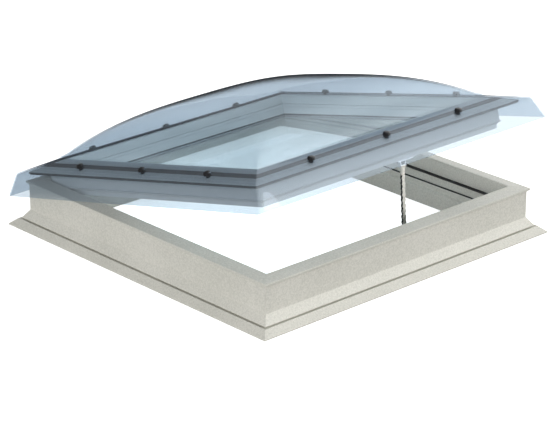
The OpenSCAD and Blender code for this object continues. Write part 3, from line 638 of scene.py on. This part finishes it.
caps = bmesh.new()
lift = Matrix.Translation((0, 0, SLEEVE_RISE * MM))
for place in knob_places():
    lathe(caps, KNOB_PROFILE, place @ lift, 4 * KNOB_GRIPS, KNOB_GRIPS, GRIP_DEPTH, grip_rows=(4, 5))
bmesh.ops.recalc_face_normals(caps, faces=caps.faces)
knobs = finished("dome_knobs", caps, black_nylon, 50)
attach(knobs, "sash")
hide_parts("knob_caps")
dress(("knob_sleeves",), black_nylon)

# Bright zinc-plated steel, as on screws and pins: smooth, with a mottle drawn at 1 mm.
bright_steel = metal("bright_plated_steel", "#C4C6C8", "#A3A6A9", roughness=0.28, grain_mm=1.0)
dress(("knob_screws", "fixed_leaf_screws", "moving_leaf_screws", "chain_bracket_screws",
       "drive_bracket_screws", "drive_end_cap_screws", "hinge_pin_left", "hinge_pin_right",
       "chain_bracket_pin"), bright_steel)


# ---- Hinges and brackets ----
# Pressed from 2 and 3 mm steel sheet and passivated, which leaves a dull grey with a faint spangle
# some 4 mm across.
plated_sheet = metal("passivated_steel_sheet", "#A6A8AB", "#8B8E92", roughness=0.42, grain_mm=4.0)
dress(("fixed_leaf_left", "fixed_leaf_right", "moving_leaf_left", "moving_leaf_right",
       "chain_bracket", "drive_bracket_left", "drive_bracket_right"), plated_sheet)


# ---- Drive ----
# A chain drive in an extruded aluminium box, powder-coated pale grey with an orange-peel skin of
# about 1.6 mm, closed by black nylon end caps that swivel on two brackets.
powder_coat = grained_plastic("pale_grey_powder_coat", "#D4D4D2", "#C6C6C4", grain_mm=1.6,
                              roughness=0.45, relief=0.35)
dress(("drive_housing",), powder_coat)
dress(("drive_end_cap_left", "drive_end_cap_right", "chain_guide", "drive_gearbox"), black_nylon)
dress(("drive_motor",), plated_sheet)


# ---- Chain ----
# A stiff push chain of waisted steel side plates, nickel-plated, with blackened pins and rollers.
# It is held by the tip and runs down into the drive, where the real one folds away as it shuts.
# Nickel: bright, with tarnish in blots of 1.6 mm. Blackened steel: dark, with an oily gloss and a
# mottle of 1.2 mm. Both are drawn coarser than they are, to show.
nickel = metal("nickel_plated_links", "#C9C8C2", "#6E6D68", roughness=0.3, grain_mm=1.6)
black_steel = metal("blackened_steel", "#2A2A2B", "#161617", roughness=0.4, grain_mm=1.2)

drive_swivel = next(j for j in frame["joints"] if j["name"] == "drive_swivel")
chain_slide = next(j for j in frame["joints"] if j["name"] == "chain_slide")
chain_way = Vector(chain_slide["axis"]).normalized()
chain_foot = Vector(drive_swivel["pos_m"])
pin_low, pin_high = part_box("chain_bracket_pin")
chain_length = ((pin_low + pin_high) / 2 - chain_foot).length / MM
leaning = Vector((0, 0, 1)).rotation_difference(chain_way).to_matrix().to_4x4()
on_chain = Matrix.Translation(chain_foot) @ leaning

LINK_PITCH = 18
LINK_COUNT = 13
END_DROP = 16
FIRST_PIN_DROP = 4.5
PLATE_W = 15
WAIST_W = 10
INNER_Y = (3.1, 3.95)
OUTER_Y = (4.0, 4.9)
PIN_HALF = 4.9
ROLLER_R = 6.8
SPACER_R = 5.6
top_pin = chain_length - END_DROP - FIRST_PIN_DROP


def link_outline():
    """A side plate's outline from one pin to the next: two round eyes and a waist between them."""
    eye = PLATE_W / 2 - 0.6
    side = []
    for k in range(13):
        t = k / 12
        neck = WAIST_W / 2 + (eye - WAIST_W / 2) * (2 * t - 1) ** 4 * 0.6
        side.append((neck, LINK_PITCH * (0.2 + 0.6 * t)))
    cap = [(eye * math.cos(a), LINK_PITCH + eye * math.sin(a))
           for a in (math.radians(d) for d in range(-10, 191, 20))]
    half_way = side + cap
    return half_way + [(-x, LINK_PITCH - z) for x, z in half_way]


PLATE_EASE = 0.25


def add_plate(shape, low, near, far, flip):
    """One side plate from y = near to y = far with its lower pin at low and its outer edges eased."""
    ring = link_outline()
    rows = []
    for y, shrink in ((near, 0), (far - PLATE_EASE, 0), (far, PLATE_EASE)):
        rows.append([shape.verts.new(on_chain @ (Vector((
            x * (1 - shrink / PLATE_W * 2), flip * y, low + z)) * MM)) for x, z in ring])
    for lower, upper in zip(rows, rows[1:]):
        for j in range(len(ring)):
            shape.faces.new((lower[j - 1], lower[j], upper[j], upper[j - 1]))
    shape.faces.new(rows[0])
    shape.faces.new(rows[-1])


def add_chain_piece(name, shape, material, node):
    """Finishes a piece of the chain, hangs it on the chain's body and hides the node that it stands for.
    """
    bmesh.ops.recalc_face_normals(shape, faces=shape.faces)
    piece = finished(name, shape, material, 30)
    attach(piece, "chain")
    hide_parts(node)
    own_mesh(piece)


for name, first, (near, far), node in (("outer_links", 0, OUTER_Y, "chain_outer_plates"),
                                       ("inner_links", 1, INNER_Y, "chain_inner_plates")):
    links = bmesh.new()
    for i in range(first, LINK_COUNT, 2):
        for flip in (-1, 1):
            add_plate(links, top_pin - LINK_PITCH * (i + 1), near, far, flip)
    add_chain_piece(name, links, nickel, node)

pins = bmesh.new()
lying = Matrix.Rotation(math.radians(90), 4, "X")
for i in range(LINK_COUNT + 1):
    place = on_chain @ Matrix.Translation((0, 0, (top_pin - LINK_PITCH * i) * MM)) @ lying
    lathe(pins, [(0.3, -PIN_HALF), (1.7, -PIN_HALF + 0.05), (2.2, -PIN_HALF + 0.5),
                 (2.2, PIN_HALF - 0.5), (1.7, PIN_HALF - 0.05), (0.3, PIN_HALF)], place, 20)
    # A wide roller on every pin, and a narrower spacer half-way to the next.
    for radius, below in ((ROLLER_R, 0), (SPACER_R, LINK_PITCH / 2)):
        core = place @ Matrix.Translation((0, -below * MM, 0))
        if i and (i < LINK_COUNT or not below):
            lathe(pins, [(2.3, -3), (radius - 0.3, -3), (radius, -2.7), (radius, 2.7),
                         (radius - 0.3, 3), (2.3, 3)], core, 24)
add_chain_piece("chain_pins_and_rollers", pins, black_steel, "chain_pins")
dress(("chain_end",), nickel)
